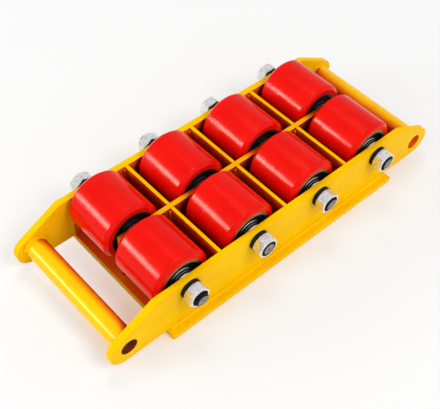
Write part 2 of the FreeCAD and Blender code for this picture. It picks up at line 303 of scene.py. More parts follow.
# %% Cast the treads
RIM_CHAMFER = 4 * MM
RIM_SOFTNESS = 1.8 * MM
CORNER_STEPS = 4
TREAD_SEGMENTS = 144
half_length = roller_length / 2
corner_turn = math.pi / 4
corner_reach = RIM_SOFTNESS * math.tan(corner_turn / 2)
soft_corners = [
    (tread_radius - RIM_CHAMFER - corner_reach, -half_length + RIM_SOFTNESS, 0),
    (tread_radius - RIM_SOFTNESS, -half_length + RIM_CHAMFER + corner_reach, corner_turn),
]
tread_half = [(core_radius, -half_length)]
for radius, along, first_turn in soft_corners:
    for step in range(CORNER_STEPS + 1):
        turn = first_turn + corner_turn * step / CORNER_STEPS
        out, back = RIM_SOFTNESS * math.sin(turn), RIM_SOFTNESS * math.cos(turn)
        tread_half.append((radius + out, along - back))
tread_master = turned("tread_master", mirrored(tread_half), TREAD_SEGMENTS, hollow=True)
smooth(tread_master)
for roller, centre in roller_centres.items():
    tread = copy_at(tread_master, f"{roller}_cast_tread", Matrix.Translation(centre))
    stands_for(tread, f"{roller}_tread")
drop(tread_master)
print("treads:", len(roller_centres))

# %% [markdown]
# ## Bearings
# At each end of a roller two shims hold the bearing's inner ring off the plate, with a gap
# beside each, which is painted near black as shade. The ring has a fine chamfer that catches the light, and a
# groove takes the seal.

# %% Draw the bearing's profile
BEARING_RECESS = 2.5 * MM
SEAL_INNER = 14.8 * MM
SEAL_OUTER = 22.3 * MM
SEAL_GAP = 0.1 * MM
SHIM_GROOVE = 2 * MM
SHIM_HEIGHT = 3 * MM
SHAFT_PLAY = 0.02 * MM
RING_START = 0.6 * MM
RING_EDGE = 0.7 * MM
RING_CHAMFER = 0.4
FIRST_SHIM_END = 1.4
SECOND_SHIM = (3.5, 4.3)
GROOVE_SLOPE = 0.1
RING_STAND = 0.2
SEAL_GROOVE = 0.8
shaft_radius = span("rear_axle").z / 2
bearing_radius = span("right_bearing_cartridges").z / 2
spacer_radius = shaft_radius + SHIM_HEIGHT
gap_radius = spacer_radius - SHIM_GROOVE


def bearing_end(wall, seal):
    """Rings from the plate's wall out to the bearing's rim, with the seal's groove between."""
    inward = math.copysign(MM, seal - wall)
    shim_start, shim_end = SECOND_SHIM
    ring_face = seal - RING_STAND * inward
    return [
        (shaft_radius + SHAFT_PLAY, wall),
        (spacer_radius - RING_CHAMFER * MM, wall),
        (spacer_radius, wall + RING_CHAMFER * inward),
        (spacer_radius, wall + FIRST_SHIM_END * inward),
        (gap_radius, wall + (FIRST_SHIM_END + GROOVE_SLOPE) * inward),
        (gap_radius, wall + (shim_start - GROOVE_SLOPE) * inward),
        (spacer_radius, wall + shim_start * inward),
        (spacer_radius, wall + shim_end * inward),
        (gap_radius, wall + (shim_end + GROOVE_SLOPE) * inward),
        (gap_radius, ring_face),
        (spacer_radius + RING_START, ring_face),
        (SEAL_INNER - RING_EDGE, ring_face),
        (SEAL_INNER - SEAL_GAP, seal + RING_STAND * inward),
        (SEAL_INNER - SEAL_GAP, seal + SEAL_GROOVE * inward),
        (SEAL_OUTER + SEAL_GAP, seal + SEAL_GROOVE * inward),
        (SEAL_OUTER + SEAL_GAP, seal + GROOVE_SLOPE * inward),
        (bearing_radius - RING_CHAMFER * MM, seal),
        (bearing_radius, seal + RING_CHAMFER * inward),
    ]


print("bearing rim radius", round(bearing_radius / MM, 2), "mm")

# %% Turn the bearings
BEARING_SEGMENTS = 96
ROWS = ("right", "left")
for row in ROWS:
    low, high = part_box(f"{row}_bearing_cartridges")
    roller_middle = roller_centres[f"{row}_roller_1"].y
    seal_reach = half_length - BEARING_RECESS
    profile = bearing_end(low.y, roller_middle - seal_reach)
    profile += reversed(bearing_end(high.y, roller_middle + seal_reach))
    bearing_master = turned("bearing_master", profile, BEARING_SEGMENTS, hollow=True)
    smooth(bearing_master)
    row_copies = [
        copy_at(bearing_master, "bearing", Matrix.Translation(spot)) for spot in axle_spots]
    bearings = join(row_copies, f"{row}_turned_bearings")
    stands_for(bearings, f"{row}_bearing_cartridges")
    drop(bearing_master)
print("bearing rows:", len(ROWS))

# %% [markdown]
# ## Bearing seals
# A black rubber seal closes the groove between the bearing's rings. It is a thin disc with a raised
# lip at its inner and outer edges, and it turns with the roller.

# %% Press in the seals
SEAL_DEPTH = 0.7 * MM
LIP_SLOPE = 0.4 * MM
INNER_LIP = 1.4 * MM
OUTER_LIP = 1.2 * MM
web_depth = SEAL_DEPTH / 2
seal_profile = [
    (SEAL_INNER, 0),
    (SEAL_INNER, -0.8 * SEAL_DEPTH),
    (SEAL_INNER + LIP_SLOPE, -SEAL_DEPTH),
    (SEAL_INNER + INNER_LIP, -SEAL_DEPTH),
    (SEAL_INNER + INNER_LIP + LIP_SLOPE, -web_depth),
    (SEAL_OUTER - OUTER_LIP - LIP_SLOPE, -web_depth),
    (SEAL_OUTER - OUTER_LIP, -SEAL_DEPTH),
    (SEAL_OUTER - LIP_SLOPE, -0.9 * SEAL_DEPTH),
    (SEAL_OUTER, 0),
]
seal_master = turned("seal_master", seal_profile, BEARING_SEGMENTS, hollow=True)
smooth(seal_master)
face_offset = Matrix.Translation((0, -half_length + BEARING_RECESS + SEAL_DEPTH, 0))
half_turn = Matrix.Rotation(math.pi, 4, "Z")
for roller, centre in roller_centres.items():
    place = Matrix.Translation(centre)
    ends = [
        copy_at(seal_master, "seal_near", place @ face_offset),
        copy_at(seal_master, "seal_far", place @ half_turn @ face_offset),
    ]
    seals = join(ends, f"{roller}_seals")
    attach(seals, roller)
    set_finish(seals, "black_steel")
    dressed[seals.name] = seals
drop(seal_master)
print("seal pairs:", len(roller_centres))

# %% [markdown]
# ## Axles
# An axle is a ground shaft, turned down at both ends and threaded. It stands out of its nuts by a
# little more on one side than on the other. The last turns of thread are rings of crests and roots,
# and the centre drill of the lathe has left a small cone in each end.

# %% Turn the axles
THREAD_PITCH = 2 * MM
THREAD_DEPTH = 0.9 * MM
THREAD_TURNS = 5
END_CHAMFER = 1.2 * MM
END_SOFTNESS = 0.3 * MM
CENTRE_CONE = 1.9 * MM
CONE_TIP = 0.3
CONE_DEPTH = 0.8
SHOULDER = 2 * MM
SHOULDER_INSET = 0.5 * MM
AXLE_SEGMENTS = 64
AXLE_STANDS = {"rear": (4.4, 0.8), "second": (0.6, 4.2), "third": (1.8, 3.0), "front": (1.6, 3.2)}
nut_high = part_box("axle_nuts")[1]
thread_radius = shaft_radius - SHOULDER
shaft_half = plate_outside - SHOULDER_INSET


def axle_end(stand):
    """Rings of (radius, distance from the middle), from the end in to the shoulder."""
    tip = nut_high.y + stand * MM
    rings = [
        (CENTRE_CONE * CONE_TIP, tip - CENTRE_CONE * CONE_DEPTH),
        (CENTRE_CONE, tip),
        (thread_radius - END_CHAMFER - END_SOFTNESS, tip),
        (thread_radius - END_CHAMFER, tip - END_SOFTNESS / 3),
    ]
    place = tip - END_CHAMFER
    for _ in range(THREAD_TURNS):
        rings.append((thread_radius, place))
        rings.append((thread_radius - THREAD_DEPTH, place - THREAD_PITCH / 2))
        place -= THREAD_PITCH
    return rings + [(thread_radius, place), (thread_radius, shaft_half), (shaft_radius, shaft_half)]


axles = []
for (name, (near, far)), spot in zip(AXLE_STANDS.items(), axle_spots):
    profile = [(radius, -place) for radius, place in axle_end(near)] + axle_end(far)[::-1]
    axle_master = turned("axle_master", profile, AXLE_SEGMENTS, hollow=False)
    smooth(axle_master)
    axle = copy_at(axle_master, f"{name}_threaded_axle", Matrix.Translation(spot))
    stands_for(axle, f"{name}_axle")
    axles.append(axle)
    drop(axle_master)
print("axles at", [round(spot.x, 3) for spot in axle_spots])

# %% [markdown]
# ## Nuts
# A hexagon nut is a six-sided bar cut by two shallow cones, which leave the curved shoulders at its
# corners. Here a six-sided cylinder is intersected with a turned barrel, then bored. A cut leaves
# doubled corners, and these are merged, because a bevel stops at them.

# %% Cut a nut
ACROSS_FLATS = 24 * MM
FACE_RADIUS = 11.5 * MM
CONE_DROP = 1.5 * MM
MOUTH_FLARE = 2 * MM
OVERCUT = MM
FACE_CLEARANCE = 0.01 * MM
CORNER_CLEARANCE = 0.2 * MM
THREAD_GAP = 0.1 * MM
NUT_ROUND = 0.25 * MM
NUT_SHARP = 24
BARREL_SEGMENTS = 96
BORE_SEGMENTS = 64
washer_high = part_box("lock_washers")[1]
nut_height = nut_high.y - washer_high.y
nut_half = nut_height / 2
corner_radius = ACROSS_FLATS / math.sqrt(3)


def cut_with(piece, tool, operation):
    """Cut with a tool, then merge the doubles that the cut leaves, so that a bevel can follow."""
    take(piece)
    cut = piece.modifiers.new("cut", "BOOLEAN")
    cut.operation = operation
    cut.object = tool
    cut.solver = "EXACT"
    bpy.ops.object.modifier_apply(modifier=cut.name)
    drop(tool)
    merge_flats(piece, merge_within=0.01 * MM, flat_degrees=0.5)


let_go()
bpy.ops.mesh.primitive_cylinder_add(vertices=6, radius=corner_radius, depth=nut_height)
nut_master = bpy.context.active_object
nut_master.rotation_euler = (math.pi / 2, 0, 0)
apply_place(nut_master, "nut_master")
first_corner = nut_master.data.vertices[0].co
level_turn = math.atan2(first_corner.z, first_corner.x)
barrel = turned("barrel", mirrored([
    (FACE_RADIUS, -nut_half - FACE_CLEARANCE),
    (corner_radius + CORNER_CLEARANCE, -nut_half + CONE_DROP),
]), BARREL_SEGMENTS, hollow=False)
cut_with(nut_master, barrel, "INTERSECT")
bore = turned("bore", mirrored([
    (thread_radius + MOUTH_FLARE + OVERCUT, -nut_half - OVERCUT),
    (thread_radius + THREAD_GAP, -nut_half + MOUTH_FLARE - THREAD_GAP),
]), BORE_SEGMENTS, hollow=False)
cut_with(nut_master, bore, "DIFFERENCE")
round_edges(nut_master, NUT_ROUND, NUT_SHARP, harden=False)
smooth(nut_master, NUT_SHARP)
print("nut corners:", round(corner_radius / MM, 2), "mm from its axis")

# %% Spin the nuts on
NUT_TURNS = {-1: (6, -2, 28, 13), 1: (40, 36, 10, 5)}
nut_copies = []
for side, turns in NUT_TURNS.items():
    middle = side * (washer_high.y + nut_half)
    for spot, degrees in zip(axle_spots, turns):
        spin = Matrix.Rotation(level_turn - math.radians(degrees), 4, "Y")
        place = Matrix.Translation((spot.x, middle, spot.z)) @ spin
        nut_copies.append(copy_at(nut_master, "nut", place))
nuts = join(nut_copies, "axle_nuts_chamfered")
stands_for(nuts, "axle_nuts")
drop(nut_master)
print("nuts:", len(nut_copies))

# %% [markdown]
# ## Weld beads
# A hand-laid weld is a row of small overlapping puddles, so its width and height change all the
# way along. Each straight bead is a turned rod whose rings swell and shrink, half sunk into its
# corner; each ring bead round a handle tube is a torus with its surface pushed about.

# %% Lay the foot beads
BEAD_SEGMENTS = 12
BEAD_SMOOTH = 70
BEAD_END = 0.35
PUDDLE_RISE = 0.07
DRIFT_STEP = 0.05
DRIFT_KEPT = 0.8


def bead(name, length, radius, ripple, seed):
    """A rippled rod along +Y from the origin. The seed keeps each run the same."""
    chance = random.Random(seed)
    stations = [(radius * BEAD_END, 0)]
    steps = round(length / ripple * 2)
    drift = 0.0
    for step in range(1, steps):
        drift = DRIFT_KEPT * drift + chance.uniform(-DRIFT_STEP, DRIFT_STEP)
        swell = 1 + PUDDLE_RISE * math.cos(math.pi * step) + drift
        stations.append((radius * swell, length * step / steps))
    stations.append((radius * BEAD_END, length))
    rod = turned(name, stations, BEAD_SEGMENTS, hollow=False)
    smooth(rod, BEAD_SMOOTH)
    return rod


FOOT_BEAD = 2.7 * MM
FOOT_SINK = 0.9 * MM
FOOT_RIPPLE = 3.6 * MM
flange_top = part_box("load_plate")[1].z
foot_low, foot_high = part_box("foot_welds")
along_x = Matrix.Rotation(-math.pi / 2, 4, "Z")
foot_runs = []
for side, seed in ((-1, 11), (1, 12)):
    run = bead("foot_run", foot_high.x - foot_low.x, FOOT_BEAD, FOOT_RIPPLE, seed)
    corner = Vector((foot_low.x, side * (plate_outside + FOOT_SINK), flange_top + FOOT_SINK))
    foot_runs.append(copy_at(run, "foot_bead", Matrix.Translation(corner) @ along_x))
    drop(run)
foot_beads = join(foot_runs, "foot_beads")
stands_for(foot_beads, "foot_welds")
print("foot beads:", len(foot_runs))

# %% Lay the corner beads
CORNER_BEAD = 2.0 * MM
CORNER_SINK = 0.5 * MM
CORNER_RIPPLE = 3.4 * MM
corner_low, corner_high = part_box("corner_welds")
corner_length = corner_high.z - corner_low.z
upright = Matrix.Rotation(math.pi / 2, 4, "X")
corner_runs = []
seed = 20
for line in ("rear", "center", "front"):
    for row in ROWS:
        low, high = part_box(f"{line}_{row}_cross_plate")
        for x, x_out in ((low.x, -1), (high.x, 1)):
            for y, y_out in ((low.y, 1), (high.y, -1)):
                seed += 1
                run = bead("corner_run", corner_length, CORNER_BEAD, CORNER_RIPPLE, seed)
                foot = Vector((x + x_out * CORNER_SINK, y + y_out * CORNER_SINK, corner_low.z))
                place = Matrix.Translation(foot) @ upright
                corner_runs.append(copy_at(run, "corner_bead", place))
                drop(run)
corner_beads = join(corner_runs, "corner_beads")
stands_for(corner_beads, "corner_welds")
print("corner beads:", len(corner_runs))

# %% Lay the ring beads
RING_BEAD = 2.3 * MM
RING_LIFT = 0.2 * MM
RING_INSET = 0.8 * MM
RING_SCATTER = 2.6 * MM
RING_SEGMENTS = 56
RING_SMOOTH = 80
ring_beads = []
seed = 60
for end in ("rear", "front"):
    low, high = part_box(f"{end}_handle_tube")
    middle = (low + high) / 2
    tube_radius = (high.z - low.z) / 2
    for y in (low.y + RING_INSET, high.y - RING_INSET):
        seed += 1
        let_go()
        bpy.ops.mesh.primitive_torus_add(
            major_segments=RING_SEGMENTS, minor_segments=BEAD_SEGMENTS,
            major_radius=tube_radius + RING_LIFT, minor_radius=RING_BEAD,
            location=(middle.x, y, middle.z), rotation=(math.pi / 2, 0, 0))
        ring = bpy.context.active_object
        apply_place(ring, "ring_bead")
        open_mesh(ring)
        bpy.ops.transform.vertex_random(offset=RING_SCATTER, uniform=0, normal=1, seed=seed)
        bpy.ops.mesh.vertices_smooth(factor=0.5, repeat=2)
        close_mesh()
        smooth(ring, RING_SMOOTH)
        ring_beads.append(ring)
handle_beads = join(ring_beads, "handle_beads")
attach(handle_beads, "frame")
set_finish(handle_beads, "frame_paint")
dressed[handle_beads.name] = handle_beads
print("ring beads:", len(ring_beads))

# %% [markdown]
# ## Finishes
# A finish is a small tree of nodes: noise breaks up the colour, the roughness and the surface, so
# that no face is one flat tone. All patterns read Object coordinates, which are metres here.

# %% Helpers for node trees
def new_finish(name):
    """A material with its tree, its main shader and the coordinates that its patterns read."""
    material = bpy.data.materials.new(name)
    material.use_nodes = True
    tree = material.node_tree
    coordinates = tree.nodes.new("ShaderNodeTexCoord").outputs["Object"]
    return material, tree, tree.nodes["Principled BSDF"], coordinates


def put(tree, kind, inputs, **settings):
    """Add a node, set its options, and fill or link its inputs."""
    made = tree.nodes.new(kind)
    for key, value in settings.items():
        setattr(made, key, value)
    for key, value in inputs.items():
        if isinstance(value, bpy.types.NodeSocket):
            tree.links.new(value, made.inputs[key])
        else:
            made.inputs[key].default_value = value
    return made


def link(tree, output, shader, socket):
    """Join a node's output to one of a shader's sockets."""
    tree.links.new(output, shader.inputs[socket])


def reckon(tree, operation, *values):
    """The result of a Math node."""
    return put(tree, "ShaderNodeMath", dict(enumerate(values)), operation=operation).outputs[0]


def rising(tree, value, low, high):
    """0 up to a low value, 1 from a high one, and a straight slope between."""
    inputs = {"Value": value, "From Min": low, "From Max": high}
    return put(tree, "ShaderNodeMapRange", inputs).outputs["Result"]


def openness(tree, distance):
    """How open a spot is to what lies within a distance, from 0 when shut in to 1."""
    inputs = {"Distance": distance}
    return put(tree, "ShaderNodeAmbientOcclusion", inputs, samples=8).outputs["AO"]


def blend_colours(tree, factor, below, above):
    """One colour laid over another by a factor."""
    inputs = {0: factor, 6: below, 7: above}
    return put(tree, "ShaderNodeMix", inputs, data_type="RGBA").outputs[2]


print("materials so far:", len(bpy.data.materials))

# %% Helpers for patterns
PATTERN_LOW, PATTERN_HIGH = 0.3, 0.7


def noise(tree, vector, scale, detail=3.0, roughness=0.5):
    """A noise pattern, most of which lies between PATTERN_LOW and PATTERN_HIGH."""
    inputs = {"Vector": vector, "Scale": scale, "Detail": detail, "Roughness": roughness}
    return put(tree, "ShaderNodeTexNoise", inputs).outputs["Fac"]


def stretched(tree, vector, scale):
    """Coordinates that are scaled along each axis."""
    return put(tree, "ShaderNodeMapping", {"Vector": vector, "Scale": scale}).outputs["Vector"]


def ramp(tree, factor, *stops):
    """A colour ramp from (place, colour) stops."""
    made = put(tree, "ShaderNodeValToRGB", {"Fac": factor})
    elements = made.color_ramp.elements
    while len(elements) < len(stops):
        elements.new(0.5)
    for element, (place, colour) in zip(elements, stops):
        element.position = place
        element.color = (*colour, 1)
    return made.outputs["Color"]


def mottled(tree, pattern, dark, light):
    """A colour that runs from dark to light with a pattern."""
    return ramp(tree, pattern, (PATTERN_LOW, dark), (PATTERN_HIGH, light))


def between(tree, pattern, low, high):
    """A number that runs from low to high with a pattern."""
    inputs = {"Value": pattern, "From Min": PATTERN_LOW, "From Max": PATTERN_HIGH}
    inputs.update({"To Min": low, "To Max": high})
    return put(tree, "ShaderNodeMapRange", inputs).outputs["Result"]


def bump(tree, shader, height, strength, distance):
    """Raise a shader's surface by a pattern."""
    inputs = {"Height": height, "Strength": strength, "Distance": distance}
    link(tree, put(tree, "ShaderNodeBump", inputs).outputs["Normal"], shader, "Normal")


print("patterns run from", PATTERN_LOW, "to", PATTERN_HIGH)

# %% [markdown]
# ### Machine yellow
# Sprayed enamel has a faint orange-peel skin and a warmer tone where it is thick. Down between
# the rollers its colour is painted shade: it turns deep red, then dark brown-red, for the shadow
# there and the red light thrown off the rollers. How far a spot is shut in comes from an Ambient
# Occlusion node, which looks around it. The outsides of the side plates, the ends and the outer
# halves of the handle tubes get no painted shade. The smooth tubes are glossier than the plates.

# %% Mix the yellow enamel
ENAMEL_TONES = ((0.90, 0.49, 0.0010), (0.97, 0.57, 0.0018))
# Painted shade colours: dark brown-red deep in the bays, and deep red a little further out.
PAINTED_DEEP_SHADE = (0.26, 0.012, 0.004)
PAINTED_RED_SHADE = (0.95, 0.08, 0.003)
SHADE_LOOKS = 80 * MM
DEEP_SHADE_FADE = 0.18
SHADE_FADE = 0.26
END_MARGIN = MM
HALF_PLATE = 4 * MM
ENAMEL_TINT = (1, 0.85, 0.25, 1)
bores = [mount for mount in record["mounts"] if mount["kind"] == "bore"]
load_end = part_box("load_plate")[1].x
plate_outsides = (("X", load_end - END_MARGIN), ("Y", plate_outside - HALF_PLATE))
tube_outsides = (("X", abs(bores[0]["pos_m"][0]) - END_MARGIN),)


def machine_yellow(name, gloss, shut_in, open_enough, never_shaded):
    """Enamel with a gloss, how open a spot is where its painted shade is darkest and where it ends,
    and the distances from the middle past which no shade is painted."""
    material, tree, shader, place = new_finish(name)
    tone = mottled(tree, noise(tree, place, scale=22, detail=4), *ENAMEL_TONES)
    grain = noise(tree, place, scale=520, detail=2)
    around = openness(tree, SHADE_LOOKS)
    # Painted shade: shut-in spots turn deep red, then dark brown-red, for shadow and red bounce.
    painted_shade = ramp(tree, around, (shut_in, PAINTED_DEEP_SHADE), (shut_in + DEEP_SHADE_FADE, PAINTED_RED_SHADE))
    spot = put(tree, "ShaderNodeSeparateXYZ", {"Vector": place}).outputs
    # No shade is painted where a spot is open enough, nor past the given distances from the middle.
    unshaded = rising(tree, around, open_enough - SHADE_FADE, open_enough)
    for axis, limit in never_shaded:
        off_middle = reckon(tree, "ABSOLUTE", spot[axis])
        outside = reckon(tree, "GREATER_THAN", off_middle, limit)
        unshaded = reckon(tree, "MAXIMUM", unshaded, outside)
    link(tree, blend_colours(tree, unshaded, painted_shade, tone), shader, "Base Color")
    rough = between(tree, noise(tree, place, scale=60, detail=5), low=0.22, high=0.34)
    link(tree, rough, shader, "Roughness")
    shader.inputs["Specular IOR Level"].default_value = gloss
    shader.inputs["Specular Tint"].default_value = ENAMEL_TINT
    bump(tree, shader, grain, strength=0.12, distance=0.15 * MM)
    return material


PLATE_GLOSS, TUBE_GLOSS = 0.02, 0.20
# Each copy starts and ends its painted shade at its own openness; the tubes and the middle plate get the most.
plate_enamel = machine_yellow(
    "plate_enamel", PLATE_GLOSS, shut_in=0.10, open_enough=0.60, never_shaded=plate_outsides)
tube_enamel = machine_yellow(
    "tube_enamel", TUBE_GLOSS, shut_in=0.37, open_enough=0.83, never_shaded=tube_outsides)
load_enamel = machine_yellow(
    "load_enamel", PLATE_GLOSS, shut_in=0.0, open_enough=0.60, never_shaded=plate_outsides)
middle_enamel = machine_yellow(
    "middle_enamel", PLATE_GLOSS, shut_in=0.30, open_enough=0.80, never_shaded=plate_outsides)
print("enamels:", [made.name for made in (plate_enamel, tube_enamel, load_enamel, middle_enamel)])

# %% [markdown]
# ### Red polyurethane
# Cast polyurethane is a dense, slightly waxy plastic. Its skin is glossy but mottled, with fine
# lines round the roller from the mould, and both break up the pale stripe that a softbox draws.

# %% Mix the red polyurethane
CAST_RED = ((0.71, 0.003, 0.0015), (0.78, 0.005, 0.002))
CAST_GLOSS = 0.13
CAST_TINT = (1, 0.82, 0.66, 1)
MOULD_LINES = (20, 260, 20)


def red_polyurethane():
    """A red plastic whose gloss changes with its mould lines and its mottling."""
    material, tree, shader, place = new_finish("red_polyurethane")
    tone = mottled(tree, noise(tree, place, scale=30, detail=4), *CAST_RED)
    link(tree, tone, shader, "Base Color")
    lines = noise(tree, stretched(tree, place, MOULD_LINES), scale=1)
    mottle = noise(tree, place, scale=210, detail=4, roughness=0.6)
    skin = blend_colours(tree, 0.5, lines, mottle)
    link(tree, between(tree, skin, low=0.10, high=0.27), shader, "Roughness")
    shader.inputs["Specular IOR Level"].default_value = CAST_GLOSS
    shader.inputs["Specular Tint"].default_value = CAST_TINT
    bump(tree, shader, mottle, strength=0.14, distance=0.3 * MM)
    return material


tread_red = red_polyurethane()
print("tread finish:", tread_red.name)

# %% [markdown]
# ### Metals and rubber
# The nuts are zinc plated, the axles and cores are turned steel, the washers are blacked, and the
# seals are moulded rubber. Deep in the gaps beside the bearings the steel is painted near black as shade.
# The bores of the handle tubes are dull and get painted shade: the rear one dark brown, and the painted front one
# deep orange.

# %% Mix the metals
# Painted shade: near-black colours for shut-in spots on the metals.
PAINTED_GAP_SHADE = ((0.008, 0.007, 0.006), (0.020, 0.018, 0.015))
GAP_SHADE_LOOKS = 60 * MM
GAP_SHADE_ENDS = (0.26, 0.46)
MARK_STRETCH = 40


def metal(name, dark, light, rough, lines, bare):
    """A metal whose tool marks run round its axis, or over it at random where lines is 1. A plated
    or dulled one is less bare, and scatters more of the light."""
    material, tree, shader, place = new_finish(name)
    along_marks = stretched(tree, place, (MARK_STRETCH, MARK_STRETCH * lines, MARK_STRETCH))
    marks = noise(tree, along_marks, scale=9, detail=4, roughness=0.6)
    clean = mottled(tree, marks, dark, light)
    # Painted shade: each metal turns near black where it is shut in.
    gap_shade = mottled(tree, marks, *PAINTED_GAP_SHADE)
    metal_unshaded = rising(tree, openness(tree, GAP_SHADE_LOOKS), *GAP_SHADE_ENDS)
    link(tree, blend_colours(tree, metal_unshaded, gap_shade, clean), shader, "Base Color")
    sheen = between(tree, noise(tree, place, scale=300, detail=5), *rough)
    link(tree, sheen, shader, "Roughness")
    shader.inputs["Metallic"].default_value = bare
    bump(tree, shader, marks, strength=0.03, distance=0.1 * MM)
    return material


turned_steel = metal(
    "turned_steel", (0.17, 0.155, 0.135), (0.36, 0.34, 0.30), (0.34, 0.50), lines=8, bare=0.9)
ground_steel = metal(
    "ground_steel", (0.74, 0.73, 0.71), (0.90, 0.89, 0.87), (0.26, 0.42), lines=8, bare=0.75)
zinc_plate = metal(
    "zinc_plate", (0.60, 0.61, 0.61), (0.98, 0.98, 0.97), (0.27, 0.33), lines=1, bare=0.9)
axle_steel = metal(
    "axle_steel", (0.07, 0.06, 0.05), (0.42, 0.39, 0.35), (0.34, 0.50), lines=1, bare=0.8)
print("metals:", [made.name for made in (turned_steel, ground_steel, zinc_plate, axle_steel)])

# %% Mix the dull finishes
DULL_GLOSS = 0.06


def dull_skin(name, dark, light, rough):
    """A grainy skin with hardly any gloss."""
    material, tree, shader, place = new_finish(name)
    grain = noise(tree, place, scale=700, detail=4, roughness=0.6)
    link(tree, mottled(tree, grain, dark, light), shader, "Base Color")
    sheen = between(tree, noise(tree, place, scale=180, detail=4), *rough)
    link(tree, sheen, shader, "Roughness")
    shader.inputs["Specular IOR Level"].default_value = DULL_GLOSS
    bump(tree, shader, grain, strength=0.2, distance=0.1 * MM)
    return material


# Real black for the washers; the same finish is painted shade in the nut mouths, the threads and the bearing gaps.
blacked_steel = dull_skin(
    "blacked_steel", (0.006, 0.005, 0.005), (0.020, 0.018, 0.017), (0.42, 0.62))
# Painted shade for the bores, as shaded copies of the paint: dark brown at the rear, deep orange at the front.
rear_bore_skin = dull_skin(
    "rear_bore_skin", (0.080, 0.014, 0.004), (0.32, 0.070, 0.020), (0.30, 0.45))
front_bore_skin = dull_skin(
    "front_bore_skin", (0.75, 0.10, 0.006), (0.95, 0.17, 0.010), (0.35, 0.55))
seal_rubber = dull_skin(
    "seal_rubber", (0.004, 0.004, 0.004), (0.012, 0.012, 0.012), (0.38, 0.55))
dull_skins = (blacked_steel, rear_bore_skin, front_bore_skin, seal_rubber)
print("dull finishes:", [made.name for made in dull_skins])

# %% [markdown]
# ### Dressing every piece
# Each piece takes the finish of the material slot it was given, and so does each CAD node. A few
# pieces have a finish of their own instead. The nut mouths, the threads and the gaps beside the shims
# get black as painted shade, found by their distance from the axle, and the bores' faces likewise get painted
# shade.

# %% Assign the finishes
finishes = {
    "frame_paint": plate_enamel,
    "tread": tread_red,
    "steel": turned_steel,
    "bearing": ground_steel,
    "zinc": zinc_plate,
    "black_steel": blacked_steel,
}
own_finishes = {
    "_seals": seal_rubber,
    "handle_tube": tube_enamel,
    "load_plate": load_enamel,
    "middle_plate": middle_enamel,
    "threaded_axle": axle_steel,
}


def wear_finish(thing, finish):
    """Give a whole piece one finish."""
    thing.data.materials.clear()
    thing.data.materials.append(finish)


for node, thing in frame["nodes"].items():
    wear_finish(thing, finishes[slot_of[node]])
for name, piece in dressed.items():
    own = [finish for word, finish in own_finishes.items() if word in name]
    wear_finish(piece, own[0] if own else finishes[piece["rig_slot"]])
print("dressed pieces:", len(dressed))

# %% Paint shade into the bores, the threads and the gaps
def off_axis(face, axes):
    """How far a face is from the nearest of some axes along Y."""
    return min(math.hypot(face.center.x - x, face.center.z - z) for x, z in axes)


def second_finish(piece, finish, chosen):
    """Give the faces that a test chooses a finish of their own."""
    place = len(piece.data.materials)
    piece.data.materials.append(finish)
    for face in piece.data.polygons:
        if chosen(face):
            face.material_index = place


BORE_MARGIN = 0.5 * MM
BORE_TILT = 0.8
bore_axes = [(mount["pos_m"][0], mount["pos_m"][2]) for mount in bores]
bore_reach = bores[0]["dims"]["r_mm"] * MM + BORE_MARGIN
for name, piece in dressed.items():
    if "handle_tube" in name or "side_plate" in name:
        # Painted shade: the faces inside each bore take its shaded finish.
        for axis, skin in zip(bore_axes, (rear_bore_skin, front_bore_skin)):
            second_finish(piece, skin, lambda face: (
                off_axis(face, [axis]) < bore_reach and abs(face.normal.y) < BORE_TILT))

MOUTH_TILT = 0.9
ROOT_DEPTH = 1.3 * MM
THREAD_SHADE_DEPTH = 2 * MM
axle_axes = [(spot.x, spot.z) for spot in axle_spots]
mouth_reach = thread_radius + MOUTH_FLARE
root_reach = thread_radius - ROOT_DEPTH
thread_start = nut_high.y - THREAD_SHADE_DEPTH
gap_reach = spacer_radius - RING_CHAMFER * MM
# Painted shade: the nut mouths, the thread ends and the gaps beside the shims are painted near black.
second_finish(nuts, blacked_steel, lambda face: (
    off_axis(face, axle_axes) < mouth_reach and abs(face.normal.y) < MOUTH_TILT))
for axle in axles:
    second_finish(axle, blacked_steel, lambda face: (
        off_axis(face, axle_axes) > root_reach and abs(face.center.y) > thread_start))
for row in ROWS:
    second_finish(dressed[f"{row}_turned_bearings"], blacked_steel, lambda face: (
        off_axis(face, axle_axes) < gap_reach))
print("bores with a skin:", len(bore_axes), "oily axles:", len(axles))

# %% [markdown]
# ## The studio
# A bright band of the surround above the horizon, a softbox low behind on the left, a weaker one
# above it, one high on the near side and one overhead light the skate, and leave the gaps dark.
# One more softbox shows only in reflections, and draws the pale stripe along each roller and tube;
# light linking keeps it off the bright metal. The floor is pale, and Light Path makes it a little
# whiter for the camera while it keeps the shadow. Where the skate shuts the floor in, painted light
# makes that white stronger, and warmer towards the near plate as painted bounce from its paint.

# %% Lay the floor
FLOOR_SIZE = 8
FLOOR_DROP = 0.1 * MM
PALE = ((0.82, 0.82, 0.82), (0.84, 0.84, 0.84))
WHITE = (1, 1, 1, 1)
WHITE_SHARE = 0.42
FLOOR_LOOKS = 120 * MM
FLOOR_OPENS = (0.40, 0.60)
# Painted light: the shut-in floor shows brighter than white, warm near the near plate as painted bounce.
NEAR_PAINTED_BOUNCE = (0.15, (1.18, 0.84, 0.60))
FAR_PAINTED_LIGHT = (0.85, (1.45, 1.42, 1.34))
OPENING_HALF = 75 * MM


def looked_at(tree):
    """1 where the camera, a reflection or a clear piece looks, and 0 where light only bounces."""
    rays = tree.nodes.new("ShaderNodeLightPath").outputs
    straight = reckon(tree, "MAXIMUM", rays["Is Camera Ray"], rays["Is Glossy Ray"])
    return reckon(tree, "MAXIMUM", straight, rays["Is Transmission Ray"])


